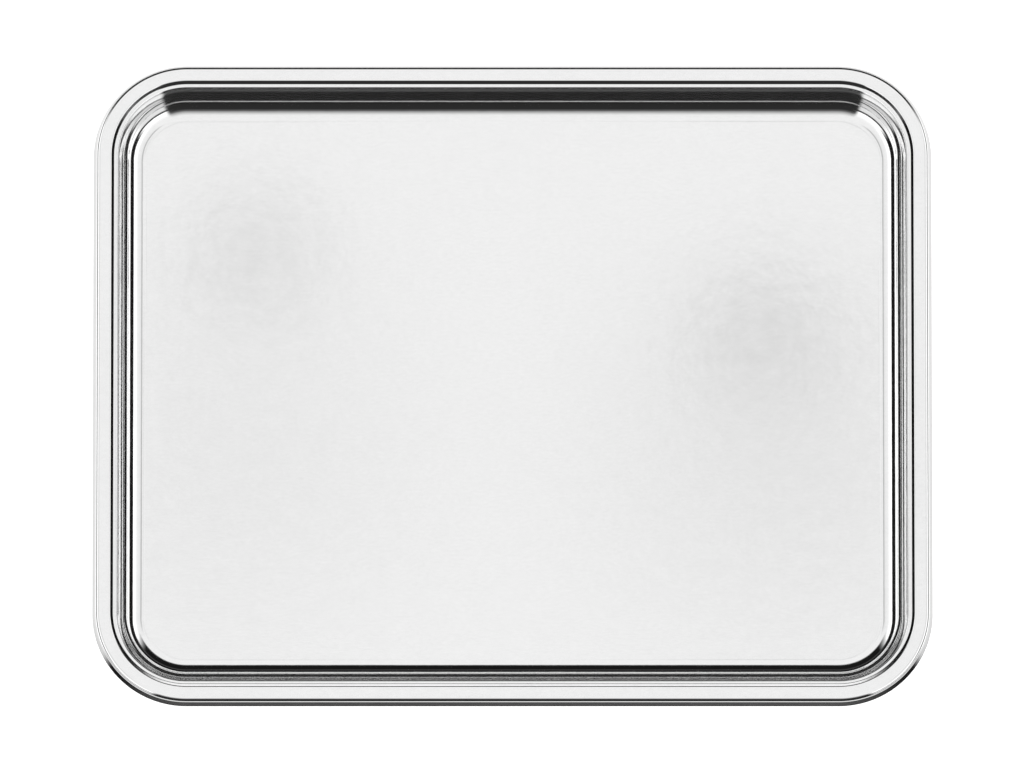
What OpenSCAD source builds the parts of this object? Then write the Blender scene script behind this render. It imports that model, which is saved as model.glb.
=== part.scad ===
// Shallow rectangular counting tray: one pressed stainless sheet with a flat,
// turned-down rim, whose edge is curled round a stiffening wire. Millimetres,
// +Z up, long side along X. The origin is the middle of the floor's underside.

/* [Tray] */
// Length over the rim
tray_l = 250; // [160:1:400]
// Width over the rim
tray_w = 195; // [120:1:320]
// Height over the rim
tray_h = 11; // [10:0.5:40]
// Corner radius of the rim, in plan
corner_r = 28; // [22:0.5:50]
// Thickness of the sheet
sheet_t = 0.6; // [0.4:0.05:0.7]

/* [Wall] */
// Rise of the wall and of the lip, for every wall_run across
wall_rise = 24; // [14:1:40]
// Run of the wall and of the lip, for every wall_rise up
wall_run = 7; // [3:1:8]
// Inside radius where the floor turns up into the wall
floor_bend_r = 7.5; // [4:0.5:8]
// Inside radius where the wall turns onto the ledge
ledge_bend_r = 0.3; // [0.2:0.1:0.6]

/* [Rim] */
// Flat width of the ledge below the rim
ledge_w = 0.3; // [0.2:0.1:2]
// Inside radius where the ledge turns up into the riser
riser_bend_r = 0.5; // [0.3:0.1:0.8]
// Rise of the riser, for every riser_run across
riser_rise = 3; // [2:0.5:6]
// Run of the riser, for every riser_rise up
riser_run = 4; // [3:0.5:6]
// Straight length of the riser, along its slope
riser_l = 0.9; // [0.2:0.1:1.2]
// Inside radius where the riser turns onto the rim
rim_bend_r = 0.2; // [0.2:0.1:0.6]
// Flat width of the rim
rim_w = 2.7; // [2.6:0.1:5]
// Inside radius where the rim turns down into its lip
lip_bend_r = 1; // [0.4:0.1:1.2]
// Straight length of the lip, along its slope
lip_l = 2.2; // [2:0.1:3.5]

/* [Edge wire] */
// Diameter of the wire inside the curled edge
wire_d = 1.8; // [1.4:0.02:2]
// Gap between the wire's two butted ends
wire_gap = 0.5; // [0.2:0.1:2]
// Angle that the sheet is curled through, from the bottom of the lip
curl_turn = 210; // [150:5:240]

/* [Hidden] */
$fn = 96;

STEEL = [0.80, 0.81, 0.82];
WIRE_STEEL = [0.62, 0.63, 0.64];

slope = atan2(wall_rise, wall_run);          // wall and lip, from the horizontal
riser_slope = atan2(riser_rise, riser_run);
wire_clearance = 0.02;                       // radial, between wire and curl

// Radii of the sheet's centre line, from the floor outwards
floor_r = floor_bend_r + sheet_t / 2;
ledge_r = ledge_bend_r + sheet_t / 2;
riser_r = riser_bend_r + sheet_t / 2;
rim_r = rim_bend_r + sheet_t / 2;
lip_r = lip_bend_r + sheet_t / 2;
curl_r = wire_d / 2 + wire_clearance + sheet_t / 2;

// The wire's axis, beyond the end of the rim's flat and below the top of the rim
wire_out = (lip_r - curl_r) * sin(slope) + lip_l * cos(slope);
wire_drop = sheet_t / 2 + lip_r * (1 - cos(slope)) + lip_l * sin(slope) + curl_r * cos(slope);
curl_out_r = curl_r + sheet_t / 2;

// What the bends and the riser take of the height and of the width
wall_bends = floor_r + ledge_r;
riser_bends = riser_r + rim_r;
bends_rise = wall_bends * (1 - cos(slope)) + riser_bends * (1 - cos(riser_slope))
             + riser_l * sin(riser_slope);
bends_run = wall_bends * sin(slope) + riser_bends * sin(riser_slope)
            + riser_l * cos(riser_slope);

// The wall and the floor's flat take up what the rest leaves
wall_l = (tray_h - sheet_t - bends_rise) / sin(slope);
floor_flat = corner_r - curl_out_r - wire_out - rim_w - ledge_w - bends_run
             - wall_l * cos(slope);

// The section, from the corner's axis outwards. A run is [length]. A bend is
// [centre-line radius, angle], with a positive angle turning upwards.
SECTION = [
    [floor_flat],
    [floor_r, slope],
    [wall_l],
    [ledge_r, -slope],
    [ledge_w],
    [riser_r, riser_slope],
    [riser_l],
    [rim_r, -riser_slope],
    [rim_w],
    [lip_r, -slope],
    [lip_l],
    [curl_r, -curl_turn]
];

assert(floor_flat > 0, "the corner radius is too small for this section");
assert(wall_l > 0, "the tray is too low for these bends");

function ahead(a) = [cos(a), sin(a)];
function leftward(a) = [-sin(a), cos(a)];

// Where a step that starts at p, heading h, ends
function is_bend(step) = len(step) == 2;
function centre(step, p, h) = p + sign(step[1]) * step[0] * leftward(h);
function end_heading(step, h) = is_bend(step) ? h + step[1] : h;
function end_point(step, p, h) = is_bend(step)
    ? centre(step, p, h) - sign(step[1]) * step[0] * leftward(h + step[1])
    : p + step[0] * ahead(h);

// A flat strip of sheet
module strip(p, h, l) {
    side = leftward(h) * sheet_t / 2;
    q = p + l * ahead(h);
    polygon([p - side, q - side, q + side, p + side]);
}

// A bent strip of sheet: a ring cut to a fan from angle a, through turn
module arc_strip(c, r, a, turn) {
    fan_r = 2 * (r + sheet_t);
    fan_steps = 8;
    translate(c) intersection() {
        difference() {
            circle(r = r + sheet_t / 2);
            circle(r = r - sheet_t / 2);
        }
        polygon([[0, 0], for (i = [0 : fan_steps]) fan_r * ahead(a + turn * i / fan_steps)]);
    }
}

// The sheet's section, drawn step by step from p, heading h
module sheet(steps, p, h) {
    if (len(steps) > 0) {
        step = steps[0];
        if (is_bend(step))
            arc_strip(centre(step, p, h), step[0], h - sign(step[1]) * 90, step[1]);
        else
            strip(p, h, step[0]);
        rest = [for (i = [1 : 1 : len(steps) - 1]) steps[i]];
        sheet(rest, end_point(step, p, h), end_heading(step, h));
    }
}

// Sweeps a section round the tray's rounded rectangle: X is measured outwards
// from the corners' axes, and Y is height
module around() {
    for (k = [0 : 3]) rotate(90 * k) {
        out = (k % 2 == 0 ? tray_l : tray_w) / 2 - corner_r;
        along = (k % 2 == 0 ? tray_w : tray_l) / 2 - corner_r;
        translate([out, 0, 0]) rotate([90, 0, 0])
            linear_extrude(height = 2 * along, center = true) children();
        translate([out, along, 0]) rotate_extrude(angle = 90) children();
    }
}

// Floor, wall, ledge, rim, lip and curled edge, pressed from one sheet
module tray_pan() {
    color(STEEL) {
        around() sheet(SECTION, [0, sheet_t / 2], 0);
        translate([0, 0, sheet_t / 2])
            cube([tray_l - 2 * corner_r, tray_w - 2 * corner_r, sheet_t], center = true);
    }
}

// Round wire inside the curl, with its ends butted in the middle of the back
module rim_wire() {
    wire_z = tray_h - wire_drop;
    color(WIRE_STEEL) difference() {
        around() translate([corner_r - curl_out_r, wire_z]) circle(d = wire_d);
        translate([0, tray_w / 2 - curl_out_r, wire_z])
            cube([wire_gap, 2 * wire_d, 2 * wire_d], center = true);
    }
}

tray_pan();
rim_wire();
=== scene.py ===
import math

import bpy
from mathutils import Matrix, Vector


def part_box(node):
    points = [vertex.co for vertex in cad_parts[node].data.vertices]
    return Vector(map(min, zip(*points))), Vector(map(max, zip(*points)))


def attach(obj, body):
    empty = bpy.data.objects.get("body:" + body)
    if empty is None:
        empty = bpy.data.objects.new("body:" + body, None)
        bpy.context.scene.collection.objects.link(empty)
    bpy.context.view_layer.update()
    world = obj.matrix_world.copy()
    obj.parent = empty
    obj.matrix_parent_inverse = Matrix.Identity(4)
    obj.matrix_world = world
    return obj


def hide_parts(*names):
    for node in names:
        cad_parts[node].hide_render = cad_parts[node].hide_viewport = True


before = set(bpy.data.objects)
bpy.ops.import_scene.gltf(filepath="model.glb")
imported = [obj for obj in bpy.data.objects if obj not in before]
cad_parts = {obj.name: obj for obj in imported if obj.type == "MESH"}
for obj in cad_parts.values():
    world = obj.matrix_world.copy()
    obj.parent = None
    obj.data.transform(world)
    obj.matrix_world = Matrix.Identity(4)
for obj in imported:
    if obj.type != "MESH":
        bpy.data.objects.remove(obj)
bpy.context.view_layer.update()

MM = 0.001

# The pan's section, as the CAD has it. Lengths in metres, angles in degrees.
SHEET = 0.6 * MM
CORNER_R = 28 * MM
WALL_SLOPE = math.degrees(math.atan2(24, 7))
RISER_SLOPE = math.degrees(math.atan2(3, 4))
FLOOR_BEND = 7.5 * MM
LEDGE_BEND = 0.3 * MM
RISER_BEND = 0.5 * MM
RIM_BEND = 0.2 * MM
LIP_BEND = 1 * MM
LEDGE_W = 0.3 * MM
RISER_L = 0.9 * MM
RIM_W = 2.7 * MM
LIP_L = 2.2 * MM
WIRE_R = 0.9 * MM
WIRE_CLEARANCE = 0.02 * MM
WIRE_GAP = 0.5 * MM
CURL_TURN = 210

# The camera looks down, leaning this far from the vertical towards the front. Its long lens
# takes in VIEW_W across at the point it aims at.
CAMERA_LEAN = 12
CAMERA_LENS = 1000
CAMERA_REACH = 50
SENSOR_W = 36
VIEW_W = 0.3063
AIM_HEIGHT = 8.8 * MM
AIM_SIDE = 0.45 * MM
AIM_FRONT = 0.35 * MM

# The studio. Brightness by angle from the zenith, in degrees, as (angle, level) pairs. The
# curves were set by comparing renders, for the lines that the bends mirror from the
# camera's place. They aren't a measured studio.
TOP_LEVEL = 1.08
STUDIO_MAX = 2.0
SIDE_LIGHT = [(0, 1.08), (13, 1.06), (18, 0.5), (23, 1.0), (38, 1.08), (52, 1.6), (57, 1.9), (60, 0.01),
              (77, 0.01), (80, 1.6), (92, 1.6), (104, 1.0), (140, 1.0), (147, 0.55), (156, 0.05), (180, 0.05)]
CORNER_LIGHT = [(0, 1.08), (17, 1.08), (38, 1.08), (60, 1.4), (69, 1.6), (71, 0.01), (76.5, 0.01),
                (79, 0.95), (92, 0.95), (104, 1.0), (140, 1.0), (147, 0.55), (156, 0.05), (180, 0.05)]
FRONT_LIGHT = [(0, 1.08), (22, 1.06), (28, 0.85), (36, 0.5), (44, 0.12), (52, 0.03), (98, 0.025),
               (106, 1.0), (127, 1.0), (135.5, 0.1), (139, 0.01), (142, 0.01), (180, 0.01)]
BACK_LIGHT = [(0, 1.08), (34, 1.08), (40, 1.1), (45, 0.03), (50, 0.01), (66, 0.01), (70, 0.08), (74, 0.01),
              (82.5, 0.01), (84.5, 1.2), (87, 1.2), (89, 0.02), (92, 0.02), (98, 1.0), (180, 1.0)]
FRONT_AZIMUTH = (150, 156)
FRONT_AZIMUTH_BELOW = (98, 112)
CORNER_AZIMUTH = (100, 122)
BACK_AZIMUTH = (60, 40)
HORIZON = (88, 94)

# The softbox overhead: its height, its edges from the middle of what the camera sees mirrored,
# and its dimmer spots as (x, y, radius, share taken away), set for the floor's uneven tone.
BOX_HEIGHT = 1.0
BOX_SIDE = 0.13
BOX_FRONT = -0.1
BOX_BACK = 0.1
BOX_SPOTS = [(-0.086, 0.047, 0.042, 0.15), (0.083, 0.018, 0.04, 0.17), (-0.1, -0.02, 0.11, 0.07),
             (0.095, -0.02, 0.11, 0.1)]

# Surfaces. SPOTS values are spots of noise to the metre, taken between NOISE_LOW and NOISE_HIGH.
NOISE_LOW = 0.3
NOISE_HIGH = 0.7
SHEET_TONE = 0.8
SHEET_TONE_SPREAD = 0.02
SHEET_ROUGH = 0.07
SHEET_ROUGH_LESS = 0.02
SHEET_ROUGH_MORE = 0.03
SHEET_WAVE = 0.02 * MM
WAVE_SPOTS = 180
GRAIN_SPOTS = 1500
MOTTLE_SPOTS = 260
MOTTLE_SHARE = 0.45
SMUDGE_SPOTS = 22
SMUDGE_SHARE = 0.5
SPECK_TONE = 0.25
SPECK_CELLS = 160
SPECK_SHARE = 0.05
SPECK_SIZE = 0.035
WIRE_SPOTS = 900
WIRE_TONES = (0.5, 0.6)
WIRE_ROUGHS = (0.2, 0.3)
PAPER_SPOTS = 400
PAPER_TONE = 0.5
PAPER_GLOW = 1.0
PAPER_SIDE = 8.0
PAPER_DROP = 0.1 * MM

CORNER_STEPS = 40
SIDE_STEPS = 12
BEND_STEP = 2
CURL_STEP = 7
WIRE_SIDES = 32


def tray_size():
    """Length, width and height over the rim, from the CAD pan."""
    lo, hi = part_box("tray_pan")
    return hi.x - lo.x, hi.y - lo.y, hi.z - lo.z


LENGTH, WIDTH, HEIGHT = tray_size()
CURL_R = WIRE_R + WIRE_CLEARANCE + SHEET / 2
CURL_OUT = CURL_R + SHEET / 2
LIP_R = LIP_BEND + SHEET / 2


# ---- Shapes ------------------------------------------------------------------

def rise(slope):
    return math.sin(math.radians(slope))


def run(slope):
    return math.cos(math.radians(slope))


def wire_place():
    """The wire's axis: how far beyond the rim's flat, and how far below the top of the rim."""
    beyond = (LIP_R - CURL_R) * rise(WALL_SLOPE) + LIP_L * run(WALL_SLOPE)
    below = (SHEET / 2 + LIP_R * (1 - run(WALL_SLOPE)) + LIP_L * rise(WALL_SLOPE)
             + CURL_R * run(WALL_SLOPE))
    return beyond, below


def section_steps():
    """Runs [length] and bends [centre-line radius, angle], from the floor to the end of the curl."""
    half = SHEET / 2
    floor_r, ledge_r, riser_r, rim_r = (r + half for r in (FLOOR_BEND, LEDGE_BEND, RISER_BEND, RIM_BEND))
    wall_bends, riser_bends = floor_r + ledge_r, riser_r + rim_r
    bends_rise = (wall_bends * (1 - run(WALL_SLOPE)) + riser_bends * (1 - run(RISER_SLOPE))
                  + RISER_L * rise(RISER_SLOPE))
    bends_run = (wall_bends * rise(WALL_SLOPE) + riser_bends * rise(RISER_SLOPE)
                 + RISER_L * run(RISER_SLOPE))
    wall_l = (HEIGHT - SHEET - bends_rise) / rise(WALL_SLOPE)
    floor_flat = (CORNER_R - CURL_OUT - wire_place()[0] - RIM_W - LEDGE_W
                  - bends_run - wall_l * run(WALL_SLOPE))
    steps = [[floor_r, WALL_SLOPE], [wall_l], [ledge_r, -WALL_SLOPE], [LEDGE_W],
             [riser_r, RISER_SLOPE], [RISER_L], [rim_r, -RISER_SLOPE], [RIM_W],
             [LIP_R, -WALL_SLOPE], [LIP_L], [CURL_R, -CURL_TURN]]
    return floor_flat, steps


def centre_line():
    """Points (distance from the corner's axis, height) and headings along the sheet's middle."""
    x, steps = section_steps()
    z, heading = SHEET / 2, 0.0
    line = [(x, z, heading)]
    for step in steps:
        if len(step) == 1:
            x += step[0] * math.cos(math.radians(heading))
            z += step[0] * math.sin(math.radians(heading))
            line.append((x, z, heading))
            continue
        radius, turn = step
        side = math.copysign(radius, turn)
        cx = x - side * math.sin(math.radians(heading))
        cz = z + side * math.cos(math.radians(heading))
        count = round(abs(turn) / (CURL_STEP if turn == -CURL_TURN else BEND_STEP))
        for i in range(1, count + 1):
            h = math.radians(heading + turn * i / count)
            x, z = cx + side * math.sin(h), cz - side * math.cos(h)
            line.append((x, z, math.degrees(h)))
        heading += turn
    return line


def pan_section():
    """The sheet's upper and lower sides: (x, z, normal x, normal z), out above and back below."""
    line = centre_line()
    half = SHEET / 2
    top, under = [], []
    for x, z, heading in line:
        nx, nz = -math.sin(math.radians(heading)), math.cos(math.radians(heading))
        top.append((x + nx * half, z + nz * half, nx, nz))
        under.append((x - nx * half, z - nz * half, -nx, -nz))
    return top, under[::-1]


def outline():
    """Stations round the rounded rectangle: (axis x, axis y, outward x, outward y)."""
    ax, ay = LENGTH / 2 - CORNER_R, WIDTH / 2 - CORNER_R
    corners = [(ax, ay), (-ax, ay), (-ax, -ay), (ax, -ay)]
    stations = []
    for k, (cx, cy) in enumerate(corners):
        for i in range(CORNER_STEPS + 1):
            a = math.radians(90 * k + 90 * i / CORNER_STEPS)
            stations.append((cx, cy, math.cos(a), math.sin(a)))
        nx, ny = corners[(k + 1) % 4]
        a = math.radians(90 * (k + 1))
        for i in range(1, SIDE_STEPS):
            t = i / SIDE_STEPS
            stations.append((cx + (nx - cx) * t, cy + (ny - cy) * t, math.cos(a), math.sin(a)))
    return stations


def new_mesh(name, verts, normals, faces):
    """A smooth object with exact normals, in the frame's own axes."""
    mesh = bpy.data.meshes.new(name)
    mesh.from_pydata(verts, [], faces)
    mesh.validate()
    mesh.polygons.foreach_set("use_smooth", [True] * len(mesh.polygons))
    mesh.update()
    mesh.normals_split_custom_set_from_vertices(normals)
    obj = bpy.data.objects.new(name, mesh)
    bpy.context.scene.collection.objects.link(obj)
    return obj


def build_pan():
    """The pressed sheet, swept round the tray, with a floor above and below."""
    top, under = pan_section()
    section = top + under
    stations = outline()
    verts, normals, faces = [], [], []
    for cx, cy, ox, oy in stations:
        for x, z, nx, nz in section:
            verts.append((cx + ox * x, cy + oy * x, z))
            normals.append((ox * nx, oy * nx, nz))
    n, m = len(stations), len(section)
    for i in range(n):
        j = (i + 1) % n
        for k in range(m - 1):
            faces.append((i * m + k, i * m + k + 1, j * m + k + 1, j * m + k))
    floor_top = [i * m for i in range(n)]
    floor_under = [i * m + m - 1 for i in range(n)]
    faces.append(tuple(floor_top))
    faces.append(tuple(reversed(floor_under)))
    return new_mesh("tray_pan_sheet", verts, normals, faces)


def build_wire():
    """The round wire in the curl, with its ends butted in the middle of the back."""
    sides = WIRE_SIDES
    stations = outline()
    middle_back = CORNER_STEPS + SIDE_STEPS // 2
    stations = stations[middle_back:] + stations[:middle_back + 1]
    half_gap = WIRE_GAP / 2
    first, last = stations[0], stations[-1]
    stations[0] = (first[0] - half_gap, *first[1:])
    stations[-1] = (last[0] + half_gap, *last[1:])
    x0, z0 = CORNER_R - CURL_OUT, HEIGHT - wire_place()[1]
    verts, normals, faces = [], [], []
    for cx, cy, ox, oy in stations:
        for k in range(sides):
            a = 2 * math.pi * k / sides
            r = x0 + WIRE_R * math.cos(a)
            verts.append((cx + ox * r, cy + oy * r, z0 + WIRE_R * math.sin(a)))
            normals.append((ox * math.cos(a), oy * math.cos(a), math.sin(a)))
    n = len(stations)
    for i in range(n - 1):
        for k in range(sides):
            q = (k + 1) % sides
            faces.append((i * sides + k, (i + 1) * sides + k, (i + 1) * sides + q, i * sides + q))
    faces.append(tuple(range(sides)))
    faces.append(tuple(reversed(range((n - 1) * sides, n * sides))))
    return new_mesh("rim_wire_round", verts, normals, faces)


# ---- Shader nodes -------------------------------------------------------------

def put(tree, socket, value):
    """Links a socket to an input, or sets the input to a number or a vector."""
    if isinstance(value, bpy.types.NodeSocket):
        tree.links.new(value, socket)
    elif value is not None:
        socket.default_value = value


def math_node(tree, operation, first, second=None):
    """A maths node on sockets or numbers. Returns its output socket."""
    made = tree.nodes.new("ShaderNodeMath")
    made.operation = operation
    for socket, value in zip(made.inputs, (first, second)):
        put(tree, socket, value)
    return made.outputs[0]


def degrees(tree, radians):
    return math_node(tree, "MULTIPLY", radians, 180 / math.pi)


def spread(tree, value, start, end, low, high, smooth=False):
    """Maps start..end to low..high, and holds the ends."""
    made = tree.nodes.new("ShaderNodeMapRange")
    made.interpolation_type = "SMOOTHSTEP" if smooth else "LINEAR"
    for name, number in (("Value", value), ("From Min", start), ("From Max", end),
                         ("To Min", low), ("To Max", high)):
        put(tree, made.inputs[name], number)
    return made.outputs[0]


def ramp(tree, value, start, end):
    """0 before start and 1 after end, smoothly, or the other way round where end is less."""
    low, high = (0.0, 1.0) if start < end else (1.0, 0.0)
    return spread(tree, value, min(start, end), max(start, end), low, high, smooth=True)


def mix(tree, share, first, second):
    """Blends two values by share, 0 to 1."""
    made = tree.nodes.new("ShaderNodeMix")
    for socket, value in zip((made.inputs[0], made.inputs[2], made.inputs[3]), (share, first, second)):
        put(tree, socket, value)
    return made.outputs[0]


def curve(tree, angle, points):
    """A smooth brightness curve through (angle, level) points."""
    made = tree.nodes.new("ShaderNodeValToRGB")
    elements = made.color_ramp.elements
    made.color_ramp.interpolation = "EASE"
    reach = points[-1][0]
    while len(elements) < len(points):
        elements.new(1.0)
    for element, (place, level) in zip(elements, points):
        element.position = place / reach
        share = level / STUDIO_MAX
        element.color = (share, share, share, 1)
    tree.links.new(math_node(tree, "DIVIDE", angle, reach), made.inputs[0])
    return math_node(tree, "MULTIPLY", made.outputs[0], STUDIO_MAX)


def noise(tree, coords, scale, detail=3.0, stretch=(1, 1, 1)):
    """Noise of so many spots to the metre, stretched by a factor along each axis."""
    place = tree.nodes.new("ShaderNodeMapping")
    place.inputs["Scale"].default_value = [scale / k for k in stretch]
    tree.links.new(coords, place.inputs["Vector"])
    made = tree.nodes.new("ShaderNodeTexNoise")
    made.inputs["Scale"].default_value = 1.0
    made.inputs["Detail"].default_value = detail
    tree.links.new(place.outputs[0], made.inputs["Vector"])
    return made.outputs[0]


# ---- Materials ----------------------------------------------------------------

def new_material(name):
    """A node material. Returns it with its tree, its shader and its object coordinates."""
    mat = bpy.data.materials.new(name)
    mat.use_nodes = True
    tree = mat.node_tree
    coords = tree.nodes.new("ShaderNodeTexCoord").outputs["Object"]
    return mat, tree, tree.nodes["Principled BSDF"], coords


def specks(tree, coords):
    """1 on a few tiny dark pits in the sheet, and 0 elsewhere."""
    cells = tree.nodes.new("ShaderNodeTexVoronoi")
    cells.inputs["Scale"].default_value = SPECK_CELLS
    tree.links.new(coords, cells.inputs["Vector"])
    chosen = ramp(tree, cells.outputs["Color"], SPECK_SHARE + 0.01, SPECK_SHARE)
    near = ramp(tree, cells.outputs["Distance"], SPECK_SIZE, SPECK_SIZE * 0.4)
    return math_node(tree, "MULTIPLY", chosen, near)


def sheet_steel():
    """Satin stainless: fine rolled grain along X, faint mottling, smudges and pits."""
    mat, tree, shader, coords = new_material("steel_sheet")
    grain = noise(tree, coords, GRAIN_SPOTS, 3.0, (2.6, 1, 1))
    mottle = noise(tree, coords, MOTTLE_SPOTS, 4.0, (1.6, 1, 1))
    smudge = noise(tree, coords, SMUDGE_SPOTS, 3.0)
    tone = mix(tree, MOTTLE_SHARE, grain, mottle)
    tone = spread(tree, tone, NOISE_LOW, NOISE_HIGH,
                  SHEET_TONE - SHEET_TONE_SPREAD, SHEET_TONE + SHEET_TONE_SPREAD)
    tone = mix(tree, specks(tree, coords), tone, SPECK_TONE)
    put(tree, shader.inputs["Base Color"], tone)
    dull = mix(tree, SMUDGE_SHARE, mottle, smudge)
    rough = spread(tree, dull, NOISE_LOW, NOISE_HIGH,
                   SHEET_ROUGH - SHEET_ROUGH_LESS, SHEET_ROUGH + SHEET_ROUGH_MORE)
    put(tree, shader.inputs["Roughness"], rough)
    shader.inputs["Metallic"].default_value = 1.0
    bump = tree.nodes.new("ShaderNodeBump")
    bump.inputs["Strength"].default_value = 1.0
    bump.inputs["Distance"].default_value = SHEET_WAVE
    tree.links.new(noise(tree, coords, WAVE_SPOTS, 2.0), bump.inputs["Height"])
    tree.links.new(bump.outputs[0], shader.inputs["Normal"])
    return mat


def wire_steel():
    """Bright drawn wire, with faint die marks."""
    mat, tree, shader, coords = new_material("steel_wire")
    marks = noise(tree, coords, WIRE_SPOTS, 2.0, (4, 4, 1))
    put(tree, shader.inputs["Base Color"], spread(tree, marks, NOISE_LOW, NOISE_HIGH, *WIRE_TONES))
    put(tree, shader.inputs["Roughness"], spread(tree, marks, NOISE_LOW, NOISE_HIGH, *WIRE_ROUGHS))
    shader.inputs["Metallic"].default_value = 1.0
    return mat


def paper():
    """Paper that glows to pure white of its own, so that it shows no shadow under the tray."""
    mat, tree, shader, coords = new_material("stage_paper")
    fibres = noise(tree, coords, PAPER_SPOTS, 4.0)
    tone = spread(tree, fibres, 0.2, 0.8, PAPER_TONE - 0.01, PAPER_TONE + 0.01)
    put(tree, shader.inputs["Base Color"], tone)
    shader.inputs["Roughness"].default_value = 1.0
    shader.inputs["Specular IOR Level"].default_value = 0.0
    shader.inputs["Emission Color"].default_value = (1, 1, 1, 1)
    shader.inputs["Emission Strength"].default_value = PAPER_GLOW
    return mat


def softbox_light():
    """An even glow with a few dimmer spots, which the tray's floor mirrors."""
    mat = bpy.data.materials.new("stage_softbox")
    mat.use_nodes = True
    tree = mat.node_tree
    tree.nodes.remove(tree.nodes["Principled BSDF"])
    place = tree.nodes.new("ShaderNodeTexCoord").outputs["Object"]
    level = TOP_LEVEL
    for x, y, radius, share in BOX_SPOTS:
        offset = tree.nodes.new("ShaderNodeVectorMath")
        offset.operation = "DISTANCE"
        tree.links.new(place, offset.inputs[0])
        offset.inputs[1].default_value = (x, y, 0)
        dim = ramp(tree, offset.outputs["Value"], radius, 0.0)
        kept = math_node(tree, "SUBTRACT", 1.0, math_node(tree, "MULTIPLY", dim, share))
        level = math_node(tree, "MULTIPLY", level, kept)
    glow = tree.nodes.new("ShaderNodeEmission")
    tree.links.new(level, glow.inputs["Strength"])
    tree.links.new(glow.outputs[0], tree.nodes["Material Output"].inputs["Surface"])
    return mat


# ---- Stage --------------------------------------------------------------------

def flat_card(name, side, front, back, place, mat):
    """A level card for the stage, from -side to side along X and from front to back along Y."""
    mesh = bpy.data.meshes.new(name)
    mesh.from_pydata([(-side, front, 0), (side, front, 0), (side, back, 0), (-side, back, 0)],
                     [], [(0, 1, 2, 3)])
    mesh.materials.append(mat)
    obj = bpy.data.objects.new(name, mesh)
    obj.location = place
    bpy.context.scene.collection.objects.link(obj)
    return obj


def build_stage():
    """The paper, which the steel doesn't mirror, and the softbox that the tray's floor mirrors."""
    below = (0, 0, -PAPER_DROP)
    floor = flat_card("stage_floor", PAPER_SIDE, -PAPER_SIDE, PAPER_SIDE, below, paper())
    floor.visible_glossy = False
    mirrored = BOX_HEIGHT * math.tan(math.radians(CAMERA_LEAN))
    overhead = (0, mirrored, BOX_HEIGHT)
    box = flat_card("stage_softbox", BOX_SIDE, BOX_FRONT, BOX_BACK, overhead, softbox_light())
    box.visible_camera = False
    box.visible_shadow = False


def build_world():
    """A white studio with dark flags in front, behind and at both sides, set for one camera lean."""
    world = bpy.data.worlds.new("studio")
    world.use_nodes = True
    tree = world.node_tree
    direction = tree.nodes.new("ShaderNodeTexCoord").outputs["Generated"]
    split = tree.nodes.new("ShaderNodeSeparateXYZ")
    tree.links.new(direction, split.inputs[0])
    x, y, z = split.outputs
    zenith = degrees(tree, math_node(tree, "ARCCOSINE", z))
    across = math_node(tree, "ABSOLUTE", x)
    azimuth = math_node(tree, "ARCTAN2", across, y)
    behind = degrees(tree, azimuth)
    tipped = math_node(tree, "MULTIPLY", math_node(tree, "COSINE", azimuth), CAMERA_LEAN)
    levelled = math_node(tree, "SUBTRACT", zenith, tipped)
    front, back = (curve(tree, zenith, light) for light in (FRONT_LIGHT, BACK_LIGHT))
    side, corner = (curve(tree, levelled, light) for light in (SIDE_LIGHT, CORNER_LIGHT))
    level = mix(tree, ramp(tree, behind, *CORNER_AZIMUTH), side, corner)
    in_front = mix(tree, ramp(tree, zenith, *HORIZON), ramp(tree, behind, *FRONT_AZIMUTH),
                   ramp(tree, behind, *FRONT_AZIMUTH_BELOW))
    level = mix(tree, in_front, level, front)
    level = mix(tree, ramp(tree, behind, *BACK_AZIMUTH), level, back)
    tree.links.new(level, tree.nodes["Background"].inputs["Strength"])
    tree.nodes["Background"].inputs["Color"].default_value = (1, 1, 1, 1)
    bpy.context.scene.world = world


def build_camera():
    """A far camera with a long lens, in front of the tray and above it."""
    cam = bpy.data.cameras.new("camera")
    cam.lens = CAMERA_LENS
    cam.sensor_width = SENSOR_W
    cam.clip_end = CAMERA_REACH
    lean = math.radians(CAMERA_LEAN)
    back = Vector((0, -math.sin(lean), math.cos(lean)))
    obj = bpy.data.objects.new("camera", cam)
    obj.location = Vector((AIM_SIDE, -AIM_FRONT, AIM_HEIGHT)) + back * VIEW_W * CAMERA_LENS / SENSOR_W
    obj.rotation_mode = "QUATERNION"
    obj.rotation_quaternion = (-back).to_track_quat("-Z", "Y")
    bpy.context.scene.collection.objects.link(obj)
    bpy.context.scene.camera = obj


def add(piece, mat, node):
    """Gives a piece its material, and puts it in place of a CAD node."""
    piece.data.materials.append(mat)
    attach(piece, "root")
    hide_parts(node)


def main():
    bpy.context.scene.view_settings.view_transform = "Standard"
    build_camera()
    build_stage()
    build_world()
    add(build_pan(), sheet_steel(), "tray_pan")
    add(build_wire(), wire_steel(), "rim_wire")


main()
